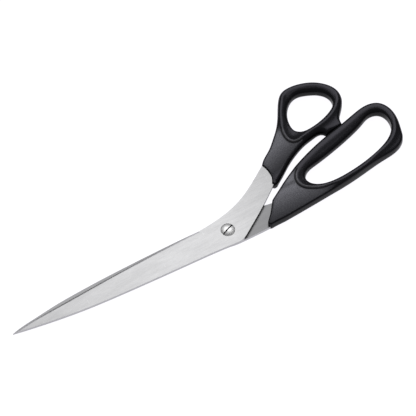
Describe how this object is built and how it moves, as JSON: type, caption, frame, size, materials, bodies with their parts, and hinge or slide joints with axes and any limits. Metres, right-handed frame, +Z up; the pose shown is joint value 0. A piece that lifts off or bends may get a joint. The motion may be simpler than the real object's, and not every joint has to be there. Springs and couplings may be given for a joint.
{
  "type": "fabric shears",
  "caption": "Bent-handle fabric shears: slim ground steel blades on a slotted pivot screw, black moulded bows, a round one for the thumb and a long one for the fingers.",
  "frame": {"origin": "under the middle of the closed shears' box, on the table", "axes": "+X from the blade tips towards the handles, +Y towards the thumb handle, +Z up from the table, along the pivot axis"},
  "size_m": [0.2596, 0.0746, 0.008],
  "materials": {
    "blade_steel": "fine ground",
    "handle_plastic": "satin, with fine spark texture on the flat shanks",
    "screw_steel": "polished",
    "nut_steel": "plain",
    "washer_plastic": "smooth"
  },
  "bodies": {
    "finger_side": {"finger_blade": "blade_steel", "finger_handle": "handle_plastic", "pivot_nut": "nut_steel", "disc_spring": "nut_steel", "glide_washer": "washer_plastic"},
    "thumb_side": {"thumb_blade": "blade_steel", "thumb_handle": "handle_plastic"},
    "tension_screw": {"pivot_screw": "screw_steel"}
  },
  "joints": [
    {"name": "pivot", "type": "hinge", "parent": "finger_side", "child": "thumb_side", "pos_m": [0.0095, -0.02733, 0.004], "axis": [0, 0, 1], "range_deg": [0, 110]},
    {"name": "tension_turn", "type": "hinge", "parent": "finger_side", "child": "tension_screw", "pos_m": [0.0095, -0.02733, 0.004], "axis": [0, 0, 1], "range_deg": [-45, 45]}
  ]
}
